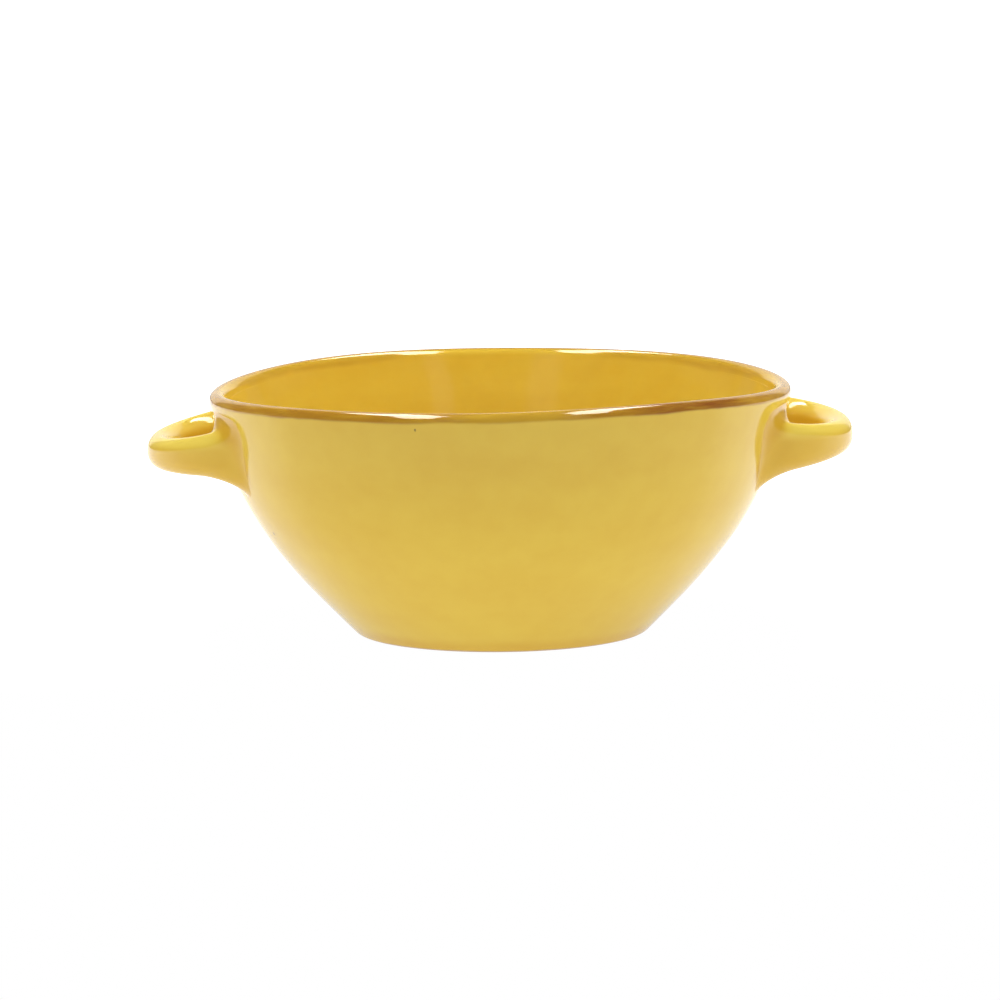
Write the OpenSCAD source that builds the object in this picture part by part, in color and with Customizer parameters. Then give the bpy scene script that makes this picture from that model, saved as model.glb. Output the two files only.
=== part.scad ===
// Lug soup bowl: a thrown bowl with an uneven lip, a brown band brushed over that lip,
// and two looped lug handles luted on under it.
// Millimetres, +Z up. The origin is the centre of the foot's resting plane, and the lugs lie along X.

/* [Bowl] */
// Outer radius of the lip
lip_r = 70; // [64:0.5:78]
// Mean height of the lip above the table
bowl_h = 60.8; // [56:0.1:68]
// Radius of the foot, out to its edge before that is rounded
foot_r = 35.1; // [31:0.1:39]
// Thickness of the wall
wall = 4.2; // [3.4:0.1:5.2]
// Thickness of the floor
floor_t = 4.8; // [3.6:0.1:6.5]
// Radius that rounds the inside from the wall into the floor
inside_round = 26; // [18:0.5:30]

/* [Wall curve] */
// Lean of the wall from upright where it leaves the foot, in degrees
foot_lean = 44; // [38:0.5:50]
// Lean of the wall from upright at the lip, in degrees
lip_lean = 11; // [7:0.5:17]
// How far the lower wall holds its lean
foot_pull = 19; // [14:0.5:24]
// How far the upper wall holds its lean
lip_pull = 32.5; // [26:0.5:36]

/* [Foot] */
// Width of the flat ring that the bowl stands on
ring_w = 4.5; // [3:0.1:8]
// Depth of the hollow inside that ring
hollow_d = 1.6; // [0.8:0.1:2.4]
// Run of the slope from the ring up into the hollow
hollow_run = 2.2; // [1:0.1:4]
// Rounding of the foot's outer edge
foot_round = 1.1; // [0.6:0.1:2]

/* [Lip] */
// Rise and fall of the lip as one tilt across the bowl
lip_tilt = 0.6; // [0:0.05:0.9]
// Rise and fall of the lip as a saddle, twice round
lip_saddle = 0.85; // [0:0.05:1.1]
// Rise and fall of the lip as a ripple, four times round
lip_ripple = 0.3; // [0:0.05:0.5]
// Thickness of the brown glaze brushed over the lip
band_t = 0.3; // [0.2:0.05:0.5]
// How far the brown reaches down the outside, below the rounded lip
band_out = 0.8; // [0.4:0.1:1.6]
// How far the brown reaches down the inside, below the rounded lip
band_in = 1.2; // [0.4:0.1:3]

/* [Lugs] */
// Distance from the bowl's centre line to the middle of a root
lug_spread = 24.5; // [19:0.1:28]
// Thickness of the strap at the tip
strap_t = 6; // [4.5:0.1:7]
// Growth in thickness from the tip to the roots
strap_swell = 1; // [0:0.1:1.6]
// Radius of the slip that fills the corner between strap and wall
slip_r = 3; // [1.5:0.1:3.2]
// How far the slip reaches down the wall under a root
slip_drop = 4.4; // [1.5:0.1:5.5]

/* [Left lug] */
// Reach from the wall to the tip
left_reach = 18.8; // [15:0.1:21]
// Depth of the middle of the tip below the lip's mean height
left_tip_drop = 15.6; // [12.8:0.1:17.8]
// Depth of the middle of the roots below the lip's mean height
left_root_drop = 14.2; // [13.8:0.1:17.8]
// Height of the strap at the tip
left_tip_h = 6.8; // [5.5:0.1:9]
// Height of the strap at the roots
left_root_h = 12.5; // [9:0.1:14]

/* [Right lug] */
// Reach from the wall to the tip
right_reach = 18.1; // [15:0.1:21]
// Depth of the middle of the tip below the lip's mean height
right_tip_drop = 13.1; // [11.8:0.1:16.8]
// Depth of the middle of the roots below the lip's mean height
right_root_drop = 14.8; // [14.3:0.1:17.8]
// Height of the strap at the tip
right_tip_h = 7.6; // [6:0.1:9]
// Height of the strap at the roots
right_root_h = 14.4; // [9:0.1:14.8]

/* [Hidden] */

yellow = [0.93, 0.78, 0.30];
brown = [0.66, 0.44, 0.16];
overrun = 1;

// Sides that the lip's tilt, saddle and ripple face, in degrees round from the right
tilt_side = 39;
saddle_side = 96;
ripple_side = 40;

// Steps round the bowl, and along each stretch of its section
around = 80;
edge_steps = 3;
wall_steps = 10;
lip_steps = 6;
inner_steps = 7;
floor_steps = 6;

// Steps round a strap, along its bow between the two fillets, and across a fillet
strap_sides = 24;
bow_steps = 20;
slip_steps = 4;
// Squareness of the strap's section and of its bow: 1 is an ellipse, and less is squarer
strap_square = 0.86;
bow_square = 0.85;
// How fast the strap's extra height dies away from the wall
flare_power = 0.9;
// Size of the ring that closes a root's face, against the root
cap_share = 0.5;
// How bluntly the brushed glaze thins to its edges
glaze_power = 4;

// Wall curve: a cubic from the foot's edge to the lip, as [radius, height], which runs
// foot_run and lip_run millimetres for one unit of its place at its two ends
foot_run = 3 * foot_pull;
lip_run = 3 * lip_pull;
function leaning(lean) = [sin(lean), cos(lean)];
foot_edge = [foot_r, 0];
lip_edge = [lip_r - wall / 2 * (1 - cos(lip_lean)), bowl_h - wall / 2 * (1 + sin(lip_lean))];
foot_handle = foot_edge + foot_pull * leaning(foot_lean);
lip_handle = lip_edge - lip_pull * leaning(lip_lean);
function mix(a, b, share) = a + (b - a) * share;
function wall_at(t) =
    let (a = mix(foot_edge, foot_handle, t), b = mix(foot_handle, lip_handle, t),
         c = mix(lip_handle, lip_edge, t))
    mix(mix(a, b, t), mix(b, c, t), t);
function wall_run(t) =
    let (a = foot_handle - foot_edge, b = lip_handle - foot_handle, c = lip_edge - lip_handle,
         run = mix(mix(a, b, t), mix(b, c, t), t))
    run / norm(run);
// Outward normal of the wall, and a point under the wall's skin at a given depth
function wall_out(t) = let (run = wall_run(t)) [run[1], -run[0]];
function under_wall(t, depth) = wall_at(t) - depth * wall_out(t);

// Place on the wall curve where its height, at a given depth under the skin, is z
curve_end = 1.15;
halvings = 22;
function place_of(z, depth = 0, low = 0, high = curve_end, turns = halvings) =
    let (middle = (low + high) / 2)
    turns == 0 ? middle :
    under_wall(middle, depth)[1] < z ? place_of(z, depth, middle, high, turns - 1) :
    place_of(z, depth, low, middle, turns - 1);
function wall_r(z) = wall_at(place_of(z))[0];

// The lip follows the same curve, and ends a little higher or lower round the bowl
function lip_rise(a) =
    lip_tilt * cos(a - tilt_side) + lip_saddle * cos(2 * (a - saddle_side))
    + lip_ripple * cos(4 * (a - ripple_side));
function lip_place(a) = 1 + lip_rise(a) / (lip_run * cos(lip_lean));
function turned(v, a) = [v[0] * cos(a) - v[1] * sin(a), v[0] * sin(a) + v[1] * cos(a)];

// Rounded lip from the band's outer edge over the top to its inner edge, less the glaze's depth
band_steps = lip_steps + 2;
function glaze_at(i) = band_t * (1 - pow(2 * i / band_steps - 1, glaze_power));
function lip_point(a, i, glaze) =
    let (end = lip_place(a), out = wall_out(end), middle = under_wall(end, wall / 2),
         depth = glaze ? glaze_at(i) : 0)
    i == 0 ? wall_at(end - band_out / lip_run) :
    i == band_steps ? under_wall(end - band_in / lip_run, wall) :
    middle + (wall / 2 - depth) * turned(out, 180 * (i - 1) / lip_steps);

// Inside: the wall's curve at the wall's thickness, then an arc down to the floor
floor_z = hollow_d + floor_t;
bend_place = place_of(floor_z + inside_round, wall + inside_round);
bend_middle = under_wall(bend_place, wall + inside_round);
bend_start = atan2(wall_out(bend_place)[1], wall_out(bend_place)[0]);
bend_turn = 90 + bend_start;

// Foot's edge: a curve from the flat ring to the wall
edge_place = foot_round / foot_run;
ring_out = [foot_r - foot_round, 0];
function foot_edge_point(share) =
    mix(mix(ring_out, foot_edge, share), mix(foot_edge, wall_at(edge_place), share), share);

function body_section(a) =
    let (outer_end = lip_place(a) - band_out / lip_run, inner_end = lip_place(a) - band_in / lip_run)
    concat(
        [for (i = [0 : edge_steps]) foot_edge_point(i / edge_steps)],
        [for (i = [1 : wall_steps - 1]) wall_at(mix(edge_place, outer_end, i / wall_steps))],
        [for (i = [0 : band_steps]) lip_point(a, i, true)],
        [for (i = [1 : inner_steps]) under_wall(mix(inner_end, bend_place, i / inner_steps), wall)],
        [for (i = [1 : floor_steps])
            bend_middle + inside_round * [cos(bend_start - bend_turn * i / floor_steps),
                                          sin(bend_start - bend_turn * i / floor_steps)]]);

function band_section(a) =
    concat(
        [for (i = [0 : band_steps]) lip_point(a, i, false)],
        [for (i = [band_steps - 1 : -1 : 1]) lip_point(a, i, true)]);

function swung(p, a) = [p[0] * cos(a), p[0] * sin(a), p[1]];

// Triangles between ring i and ring k of a loft, with count points in each ring
function strip(i, k, count) =
    [for (j = [0 : count - 1], half = [0, 1])
        let (next = (j + 1) % count, a = i * count, b = k * count)
        half == 0 ? [a + j, a + next, b + next] : [a + j, b + next, b + j]];

// A lug, in coordinates that follow the wall: y across, s out from the wall, z up.
// The strap's middle runs along half a squared ellipse from one root to the other.
left = [bowl_h - left_tip_drop, bowl_h - left_root_drop, left_tip_h, left_root_h, left_reach];
right = [bowl_h - right_tip_drop, bowl_h - right_root_drop, right_tip_h, right_root_h, right_reach];
function middle_reach(lug) = lug[4] - strap_t / 2;
function on_wall(y, z) = sqrt(pow(wall_r(z), 2) - y * y);
function rounded(value) = sign(value) * pow(abs(value), strap_square);
function strap_point(turn, k, lug, size = 1) =
    let (tip_z = lug[0], root_z = lug[1], tip_h = lug[2], root_h = lug[3], reach = middle_reach(lug),
         across = sign(cos(turn)) * pow(abs(cos(turn)), bow_square),
         forth = pow(sin(turn), bow_square),
         along = [lug_spread * pow(sin(turn), 2 - bow_square),
                  reach * sign(cos(turn)) * pow(abs(cos(turn)), 2 - bow_square)],
         out = [-along[1], along[0]] / norm(along),
         near = pow(1 - forth, flare_power),
         half_t = (strap_t + strap_swell * near) / 2 * size,
         half_h = mix(tip_h, root_h, near) / 2 * size,
         middle_z = mix(root_z, tip_z, forth),
         side = half_t * rounded(cos(k)),
         y = -lug_spread * across + side * out[0],
         s = reach * forth + side * out[1],
         z = middle_z + half_h * rounded(sin(k)),
         upright = forth * forth)
    [mix(on_wall(y, z), on_wall(y, middle_z), upright) + s, y, z];

// Turn at which the strap's middle has left the slip behind
function slip_turn(lug) = asin(pow(slip_r / middle_reach(lug), 1 / bow_square));
function strap_turns(lug) =
    let (clear = slip_turn(lug))
    concat([0, clear / 2], [for (i = [0 : bow_steps]) mix(clear, 180 - clear, i / bow_steps)],
           [180 - clear / 2, 180]);
function strap_ring(turn, lug, size = 1) =
    [for (j = [0 : strap_sides - 1]) strap_point(turn, 360 * j / strap_sides, lug, size)];

module strap(lug) {
    turns = strap_turns(lug);
    rings = len(turns);
    // Each root's face lies on the wall: a smaller ring and a middle point close it
    caps = concat(strap_ring(0, lug, cap_share), strap_ring(180, lug, cap_share));
    first = rings * strap_sides;
    points = concat(
        [for (turn = turns) each strap_ring(turn, lug)],
        caps, [strap_point(0, 0, lug, 0), strap_point(180, 0, lug, 0)]);
    near_cap = strip(rings, 0, strap_sides);
    far_cap = strip(rings - 1, rings + 1, strap_sides);
    near_middle = [for (j = [0 : strap_sides - 1])
        [first + (j + 1) % strap_sides, first + j, first + 2 * strap_sides]];
    far_middle = [for (j = [0 : strap_sides - 1])
        [first + strap_sides + j, first + strap_sides + (j + 1) % strap_sides,
         first + 2 * strap_sides + 1]];
    sides = [for (i = [0 : rings - 2]) each strip(i, i + 1, strap_sides)];
    polyhedron(points, concat(sides, near_cap, far_cap, near_middle, far_middle), convexity = 6);
}

// Slip in the corner round one root: up the strap, down in a hollow curve, and back along the wall
function slip_foot(turn, k, lug) =
    let (root = strap_point(turn, k, lug), y = root[1] - cos(turn) * slip_r * cos(k),
         z = root[2] + (sin(k) > 0 ? slip_r : slip_drop) * sin(k))
    [on_wall(y, z), y, z];
function slip_section(turns, k, lug) =
    let (corner = strap_point(turns[0], k, lug), top = strap_point(turns[2], k, lug),
         foot = slip_foot(turns[0], k, lug))
    concat(
        [corner, strap_point(turns[1], k, lug)],
        [for (i = [0 : slip_steps])
            mix(mix(top, corner, i / slip_steps), mix(corner, foot, i / slip_steps), i / slip_steps)]);

module slip(turns, lug) {
    count = slip_steps + 3;
    points = [for (j = [0 : strap_sides - 1]) each slip_section(turns, 360 * j / strap_sides, lug)];
    faces = [for (j = [0 : strap_sides - 1], i = [0 : count - 1], half = [0, 1])
        let (next = (j + 1) % strap_sides, up = (i + 1) % count)
        half == 0 ? [j * count + i, next * count + i, next * count + up]
                  : [j * count + i, next * count + up, j * count + up]];
    ordered = turns[0] == 0 ? [for (f = faces) [f[2], f[1], f[0]]] : faces;
    polyhedron(points, ordered, convexity = 4);
}

module slip_pair(lug) {
    clear = slip_turn(lug);
    slip([0, clear / 2, clear], lug);
    slip([180, 180 - clear / 2, 180 - clear], lug);
}

module bowl_shell() {
    sections = [for (j = [0 : around - 1]) body_section(360 * j / around)];
    count = len(sections[0]);
    points = concat(
        [for (j = [0 : around - 1], p = sections[j]) swung(p, 360 * j / around)],
        [[0, 0, 0], [0, 0, floor_z]]);
    under = len(points) - 2;
    sides = [for (j = [0 : around - 1], i = [0 : count - 2], half = [0, 1])
        let (next = (j + 1) % around)
        half == 0 ? [j * count + i, next * count + i + 1, next * count + i]
                  : [j * count + i, j * count + i + 1, next * count + i + 1]];
    base = [for (j = [0 : around - 1]) [under, j * count, ((j + 1) % around) * count]];
    inside = [for (j = [0 : around - 1])
        [under + 1, ((j + 1) % around) * count + count - 1, j * count + count - 1]];
    polyhedron(points, concat(sides, base, inside), convexity = 6);
}

module foot_hollow() {
    hollow_r = foot_r - foot_round - ring_w;
    rotate_extrude($fn = around)
        polygon([[0, -overrun], [hollow_r + overrun * hollow_run / hollow_d, -overrun],
                 [hollow_r - hollow_run, hollow_d], [0, hollow_d]]);
}

module bowl_body() {
    color(yellow)
        difference() {
            bowl_shell();
            foot_hollow();
        }
}

module lip_band() {
    sections = [for (j = [0 : around - 1]) band_section(360 * j / around)];
    count = len(sections[0]);
    points = [for (j = [0 : around - 1], p = sections[j]) swung(p, 360 * j / around)];
    faces = [for (j = [0 : around - 1], i = [0 : count - 1], half = [0, 1])
        let (next = (j + 1) % around, up = (i + 1) % count)
        half == 0 ? [j * count + i, next * count + up, next * count + i]
                  : [j * count + i, j * count + up, next * count + up]];
    color(brown) polyhedron(points, faces, convexity = 6);
}

module right_lug() {
    color(yellow) strap(right);
}

module left_lug() {
    color(yellow) mirror([1, 0, 0]) strap(left);
}

module right_lug_slip() {
    color(yellow) slip_pair(right);
}

module left_lug_slip() {
    color(yellow) mirror([1, 0, 0]) slip_pair(left);
}

bowl_body();
lip_band();
left_lug();
right_lug();
left_lug_slip();
right_lug_slip();
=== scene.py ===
import math

import bpy
import numpy as np
from mathutils import Matrix


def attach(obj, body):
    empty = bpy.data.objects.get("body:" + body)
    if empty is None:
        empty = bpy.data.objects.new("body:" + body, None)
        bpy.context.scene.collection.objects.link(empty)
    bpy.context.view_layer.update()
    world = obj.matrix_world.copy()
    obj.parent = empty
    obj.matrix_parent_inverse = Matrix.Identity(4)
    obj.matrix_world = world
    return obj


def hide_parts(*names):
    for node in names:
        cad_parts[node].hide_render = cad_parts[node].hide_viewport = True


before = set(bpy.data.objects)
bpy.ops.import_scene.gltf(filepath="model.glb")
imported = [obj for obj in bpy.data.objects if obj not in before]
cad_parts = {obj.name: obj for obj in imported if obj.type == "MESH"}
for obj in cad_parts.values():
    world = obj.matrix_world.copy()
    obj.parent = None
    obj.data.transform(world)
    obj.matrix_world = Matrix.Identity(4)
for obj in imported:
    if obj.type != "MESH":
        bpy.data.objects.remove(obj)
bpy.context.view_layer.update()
scene = bpy.context.scene

# Camera: above the table by its rise, and rolled a little as the photograph is
cameraSizes = dict(
    back=1.2,
    aimHeight=0.030,
    rise=math.radians(7.81),
    roll=math.radians(-0.61),
    lens=178.0,
    shiftAcross=-0.0009,
    shiftUp=0.0069,
    sensor=36,
    nearest=0.05,
    farthest=60,
)


def makeCamera(sizes):
    camera = bpy.data.objects.new("camera", bpy.data.cameras.new("camera"))
    scene.collection.objects.link(camera)
    scene.camera = camera
    camera.data.lens = sizes["lens"]
    camera.data.sensor_width = sizes["sensor"]
    camera.data.shift_x = sizes["shiftAcross"]
    camera.data.shift_y = sizes["shiftUp"]
    camera.data.clip_start = sizes["nearest"]
    camera.data.clip_end = sizes["farthest"]
    camera.rotation_euler = (math.pi / 2 - sizes["rise"], 0, 0)
    camera.rotation_euler.rotate_axis("Z", sizes["roll"])
    camera.location = (
        0,
        -sizes["back"] * math.cos(sizes["rise"]),
        sizes["aimHeight"] + sizes["back"] * math.sin(sizes["rise"]),
    )


makeCamera(cameraSizes)
print("camera placed")

# Wall curve: the same cubic as the part's, as radius and height. The inner wall is a little thicker
# from thickFrom to thickTo below the lip's end, and the bowl a little wider towards its lugs
bowl = dict(
    lipR=0.070,
    height=0.0608,
    footR=0.0351,
    wall=0.0042,
    floorHeight=0.0064,
    insideRound=0.026,
    thicker=0.0014,
    thickFrom=(0.0, 0.018),
    thickTo=(0.026, 0.055),
    wider=0.0006,
    footLean=math.radians(44),
    lipLean=math.radians(11),
    footPull=0.019,
    lipPull=0.0325,
)
halfWall = bowl["wall"] / 2
footRun = 3 * bowl["footPull"]
lipRun = 3 * bowl["lipPull"]


def leaning(lean):
    # a step of length 1 up and outward, at the lean from upright
    return np.array([math.sin(lean), math.cos(lean)])


footEdge = np.array([bowl["footR"], 0.0])
lipEdge = np.array(
    [
        bowl["lipR"] - halfWall * (1 - math.cos(bowl["lipLean"])),
        bowl["height"] - halfWall * (1 + math.sin(bowl["lipLean"])),
    ]
)
footHandle = footEdge + bowl["footPull"] * leaning(bowl["footLean"])
lipHandle = lipEdge - bowl["lipPull"] * leaning(bowl["lipLean"])


def mix(a, b, share):
    return a + (b - a) * share


def smooth(value, low, high):
    # 3u^2 - 2u^3, with u the clamped share of the way from low to high
    share = np.clip((value - low) / (high - low), 0, 1)
    return share * share * (3 - 2 * share)


def wallAt(t):
    # (1-t)^3 F + 3t(1-t)^2 f + 3t^2(1-t) l + t^3 L, foot F to lip L with handles f and l
    t = np.asarray(t, float)[..., None]
    u = 1 - t
    return u**3 * footEdge + 3 * t * u**2 * footHandle + 3 * t**2 * u * lipHandle + t**3 * lipEdge


def wallOut(t):
    # the derivative of wallAt at unit length, turned a quarter to face outward
    t = np.asarray(t, float)[..., None]
    u = 1 - t
    run = u**2 * (footHandle - footEdge) + 2 * t * u * (lipHandle - footHandle) + t**2 * (lipEdge - lipHandle)
    run = run / np.linalg.norm(run, axis=-1, keepdims=True)
    return np.stack([run[..., 1], -run[..., 0]], -1)


def underWall(t, depth):
    # the wall curve, moved inward along its normal by depth
    return wallAt(t) - np.asarray(depth)[..., None] * wallOut(t)


# a table of the curve, run on past both of its ends
places = np.linspace(-0.05, 1.2, 5001)
wallTable = wallAt(places)


def wallR(z):
    # radius of the plain wall at a height
    return np.interp(z, wallTable[:, 1], wallTable[:, 0])


# Throwing marks, as sets of waves round and up the wall: how many, most swells round, waves per metre up,
# depth. After them come the heights between which the marks fade in and out
throwing = dict(
    seed=11,
    outer=((5, 3, (18, 45), 0.00007), (7, 2, (70, 130), 0.000012)),
    inner=((4, 3, (15, 35), 0.00008), (7, 1, (90, 170), 0.00003)),
    outerLow=(0.0015, 0.008),
    outerHigh=(0.048, 0.055),
    innerLow=(0.0064, 0.012),
    innerHigh=(0.046, 0.055),
)
random = np.random.default_rng(throwing["seed"])


def makeWaves(count, swells, perMetre, depth):
    # a line of swells round, waves per metre up, depth and turn for each wave
    return np.stack(
        [
            random.integers(0, swells + 1, count),
            random.uniform(*perMetre, count),
            depth * random.uniform(0.5, 1.0, count),
            random.uniform(0, 2 * math.pi, count),
        ],
        -1,
    )


outerWaves = np.concatenate([makeWaves(*waves) for waves in throwing["outer"]])
innerWaves = np.concatenate([makeWaves(*waves) for waves in throwing["inner"]])


def waveHeight(waves, a, z):
    # sum of depth cos(swells a + 2 pi waves z + turn)
    total = np.zeros(np.broadcast(a, z).shape)
    for swells, perMetre, depth, turn in waves:
        total = total + depth * np.cos(swells * a + 2 * math.pi * perMetre * z + turn)
    return total


def outerWave(a, z):
    # the outside's waves, fading out before the foot and before the lip
    return waveHeight(outerWaves, a, z) * smooth(z, *throwing["outerLow"]) * (1 - smooth(z, *throwing["outerHigh"]))


def innerWave(a, z):
    # the inside's waves, fading out before the lip and at the middle of the floor
    return waveHeight(innerWaves, a, z) * smooth(z, *throwing["innerLow"]) * (1 - smooth(z, *throwing["innerHigh"]))


def widened(a, z):
    # the bowl is a little wider towards its lugs: wider sqrt(z / height) cos^2 a
    return bowl["wider"] * np.sqrt(np.clip(z / bowl["height"], 0, 1)) * np.cos(a) ** 2


# Lip: the wall runs on a little higher or lower round the bowl, and ends in a half round
lip = dict(
    tilt=0.0006,
    saddle=0.00085,
    ripple=0.0003,
    tiltSide=math.radians(39),
    saddleSide=math.radians(96),
    rippleSide=math.radians(40),
    bandOut=0.0008,
    bandIn=0.0012,
    bandDepth=0.0003,
)
quarterRound = halfWall * math.pi / 2
bandStart = quarterRound + lip["bandOut"]
bandEnd = -quarterRound - lip["bandIn"]


def lipPlace(a):
    # 1 + (tilt cos(a-s) + saddle cos 2(a-s) + ripple cos 4(a-s)) / (lip run cos(lean))
    rise = (
        lip["tilt"] * np.cos(a - lip["tiltSide"])
        + lip["saddle"] * np.cos(2 * (a - lip["saddleSide"]))
        + lip["ripple"] * np.cos(4 * (a - lip["rippleSide"]))
    )
    return 1 + rise / (lipRun * math.cos(bowl["lipLean"]))


def lipSection(a, d, depth=0.0):
    # d is the distance along the skin from the crest, outside positive: the wall's own curve
    # where |d| is over a quarter round, else the middle of the lip + (half wall) (cos, sin)(pi/2 - d / half wall)
    end = lipPlace(a)
    over = np.maximum(np.abs(d) - quarterRound, 0) / lipRun
    straightOut = underWall(end - over, 0 * over + depth)
    straightIn = underWall(end - over, bowl["wall"] + 0 * over - depth)
    out = wallOut(end)
    up = np.stack([-out[..., 1], out[..., 0]], -1)
    turn = math.pi / 2 - np.clip(d / halfWall, -math.pi / 2, math.pi / 2)
    ring = np.cos(turn)[..., None] * out + np.sin(turn)[..., None] * up
    rounded = underWall(end, halfWall + 0 * end) + (halfWall - depth)[..., None] * ring
    return np.where(
        (d > quarterRound)[..., None], straightOut, np.where((d < -quarterRound)[..., None], straightIn, rounded)
    )


def bedDepth(d):
    # depth (1 - u^4), with u from -1 to 1 across the brushed band
    u = (2 * d - bandStart - bandEnd) / (bandStart - bandEnd)
    return lip["bandDepth"] * np.clip(1 - u**4, 0, 1)


def swung(section, a):
    # radius and height turned round the axis by a, and widened
    radius = section[..., 0] + widened(a, section[..., 1])
    return np.stack([radius * np.cos(a), radius * np.sin(a), section[..., 1]], -1)


def bend(start, corner, end, count):
    # quadratic curve from start to end, drawn towards corner
    t = np.linspace(0, 1, count)[:, None]
    return (1 - t) ** 2 * start + 2 * t * (1 - t) * corner + t**2 * end


# Foot: a flat ring round a shallow hollow. The last three keep the flat rings' points clear of the corners
foot = dict(
    ringWidth=0.0045,
    hollow=0.0016,
    hollowRun=0.0022,
    rounding=0.0011,
    softness=0.0005,
    innermost=0.002,
    clearance=0.001,
    lastFlat=0.0002,
)


def footSection():
    # hollow, slope, flat ring and edge, each corner a small quadratic curve
    ringOut = np.array([bowl["footR"] - foot["rounding"], 0.0])
    ringIn = ringOut - [foot["ringWidth"], 0]
    slopeTop = ringIn + [-foot["hollowRun"], foot["hollow"]]
    slope = (ringIn - slopeTop) / np.linalg.norm(ringIn - slopeTop) * foot["softness"]
    across = np.array([foot["softness"], 0])
    flat = np.linspace(foot["innermost"], slopeTop[0] - foot["clearance"], 9)
    hollow = np.stack([flat, flat * 0 + foot["hollow"]], -1)
    ringFlat = np.linspace(ringIn[0] + foot["clearance"], ringOut[0] - foot["lastFlat"], 5)
    return np.concatenate(
        [
            hollow,
            bend(slopeTop - across, slopeTop, slopeTop + slope, 6),
            bend(ringIn - slope, ringIn, ringIn + across, 6),
            np.stack([ringFlat, 0 * ringFlat], -1),
            bend(ringOut, footEdge, wallAt(foot["rounding"] / footRun), 12),
        ]
    )


def makeMesh(name, rings, closedAlong=False, poles=None):
    # a grid of rings, each closed on itself, with single points at the ends or the last ring joined to the first
    count, sides = rings.shape[:2]
    points = rings.reshape(-1, 3)
    index = np.arange(count * sides).reshape(count, sides)
    if closedAlong:
        index = np.concatenate([index, index[:1]])
    side = np.roll(index, -1, 1)
    quads = np.stack([index[:-1], side[:-1], side[1:], index[1:]], -1).reshape(-1, 4)
    faces = quads.tolist()
    if poles is not None:
        first, last = count * sides, count * sides + 1
        points = np.concatenate([points, poles])
        faces += np.stack([side[0], index[0], index[0] * 0 + first], -1).tolist()
        faces += np.stack([index[-1], side[-1], index[0] * 0 + last], -1).tolist()
    mesh = bpy.data.meshes.new(name)
    mesh.from_pydata(points.tolist(), [], faces)
    mesh.polygons.foreach_set("use_smooth", np.ones(len(mesh.polygons), bool))
    corners = points[quads]
    volume = np.einsum("ij,ij->", corners[:, 0], np.cross(corners[:, 1], corners[:, 2])) + np.einsum(
        "ij,ij->", corners[:, 0], np.cross(corners[:, 2], corners[:, 3])
    )
    if volume < 0:
        mesh.flip_normals()
    mesh.update()
    piece = bpy.data.objects.new(name, mesh)
    scene.collection.objects.link(piece)
    return piece


def setValues(piece, name, values):
    attribute = piece.data.attributes.new(name, "FLOAT", "POINT")
    attribute.data.foreach_set("value", np.ascontiguousarray(values, np.float32).ravel())


def markSharp(piece, rings, sides):
    # the edges along these rings keep a normal of their own on each side
    ends = np.empty(len(piece.data.edges) * 2, int)
    piece.data.edges.foreach_get("vertices", ends)
    ends = ends.reshape(-1, 2) // sides
    sharp = (ends[:, 0] == ends[:, 1]) & np.isin(ends[:, 0], rings)
    attribute = piece.data.attributes.new("sharp_edge", "BOOLEAN", "EDGE")
    attribute.data.foreach_set("value", sharp)


# Lugs: the strap's heights and reach, how its roots lean, how its top tilts towards the front, and the
# slip that blends it into the wall. The slip has eight values round the strap's section, from its outer
# side up over the top: its reach along the wall and along the strap, and how hollow it is
lugShape = dict(spread=0.0245, thick=0.006, swell=0.001, bowPower=0.85, flare=0.9, straight=0.45, backTop=0.6)
leftLug = dict(
    tipZ=0.0451,
    rootZ=0.0469,
    tipH=0.0076,
    rootH=0.0116,
    reach=0.0184,
    drawIn=0.0015,
    splay=0.004,
    topTilt=0.30,
    roll=0.0003,
    innerSwell=0.0005,
    slipTop=0.0562,
    slipOnWall=(0.0036, 0.0060, 0.0042, 0.0082, 0.0070, 0.0046, 0.0052, 0.0036),
    slipOnStrap=(0.0040, 0.0056, 0.0052, 0.0066, 0.0066, 0.0060, 0.0088, 0.0054),
    slipHollow=(0.66, 0.72, 0.72, 0.50, 0.5, 0.55, 0.5, 0.6),
)
rightLug = dict(
    tipZ=0.0476,
    rootZ=0.0465,
    tipH=0.0079,
    rootH=0.0140,
    reach=0.0175,
    drawIn=0.0047,
    splay=0.006,
    topTilt=0.15,
    roll=0.0014,
    innerSwell=0.0013,
    slipTop=0.0568,
    slipOnWall=(0.0032, 0.0058, 0.0044, 0.0080, 0.0062, 0.0042, 0.0042, 0.0022),
    slipOnStrap=(0.0036, 0.0056, 0.0052, 0.0064, 0.0060, 0.0052, 0.0072, 0.0044),
    slipHollow=(0.66, 0.72, 0.72, 0.50, 0.5, 0.55, 0.55, 0.6),
)


# how the slip meets the wall: how deep its edge lies, how far the tangents reach, how softly slipTop caps it,
# and the two rings and the pole that close it inside the wall, as share of its reach and depth
slip = dict(
    edgeDepth=0.00004,
    strapStep=0.96,
    wallStep=0.04,
    capSoftness=0.0005,
    sunkShare=-0.12,
    sunkDepth=0.0004,
    deepShare=0.6,
    deepDepth=0.0016,
    poleDepth=0.0018,
)


def power(value, exponent):
    return np.sign(value) * np.abs(value) ** exponent


def onWall(y, z, depth=0.0):
    # x of the wavy wall at y and z, at a depth under its skin
    angle = np.arctan2(y, np.sqrt(wallR(z) ** 2 - y * y))
    radius = wallR(z) + outerWave(angle, z) + widened(angle, z) - depth
    return np.sqrt(np.maximum(radius**2 - y * y, 0))


def placed(y, z, depth):
    # the point of the wall's skin at y and z, that deep under it
    return np.stack([onWall(y, z, depth), y, z], -1)


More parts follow.
